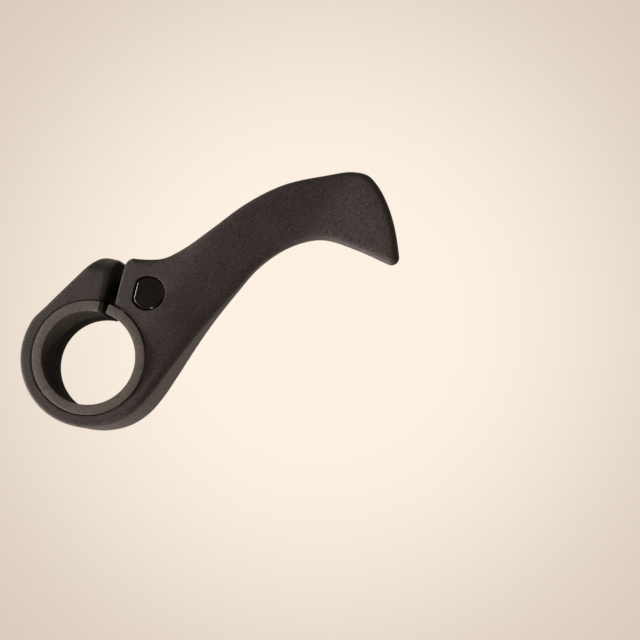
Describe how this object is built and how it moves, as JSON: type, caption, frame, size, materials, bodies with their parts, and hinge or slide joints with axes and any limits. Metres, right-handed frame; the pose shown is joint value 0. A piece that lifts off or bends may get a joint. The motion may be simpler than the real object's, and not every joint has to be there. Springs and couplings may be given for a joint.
{
  "type": "bicycle bar end",
  "caption": "Split clamp ring with a bar sleeve and a curved, tapering hand wing, closed by a screw into a flat-sided cross nut.",
  "frame": {"origin": "on the handlebar's axis, midway across the clamp", "axes": "+Y along the handlebar's axis, away from the grip; the wing grows from the clamp's front at -Y, reaches out to +X and rises to +Z"},
  "size_m": [0.0889, 0.0226, 0.06],
  "materials": {
    "moulded_nylon": "matte, finely textured moulding",
    "sleeve_nylon": "satin moulding",
    "blackened_steel": "black oxide, slightly glossy"
  },
  "bodies": {
    "clamp": {"wing_body": "moulded_nylon", "bar_sleeve": "sleeve_nylon", "barrel_nut": "blackened_steel"},
    "washer": {"bolt_washer": "blackened_steel"},
    "screw": {"clamp_bolt": "blackened_steel"}
  },
  "joints": [
    {"name": "screw_travel", "type": "slide", "parent": "clamp", "child": "washer", "axis": [-0.969, 0, 0.247], "range_m": [0, 0.007]},
    {"name": "screw_turn", "type": "hinge", "parent": "washer", "child": "screw", "pos_m": [0.00443, 0, 0.01737], "axis": [-0.969, 0, 0.247], "range_deg": [0, 3600]}
  ],
  "couplings": [
    {"joint": "screw_turn", "follows": "screw_travel", "rad_per_m": 8975.9}
  ]
}
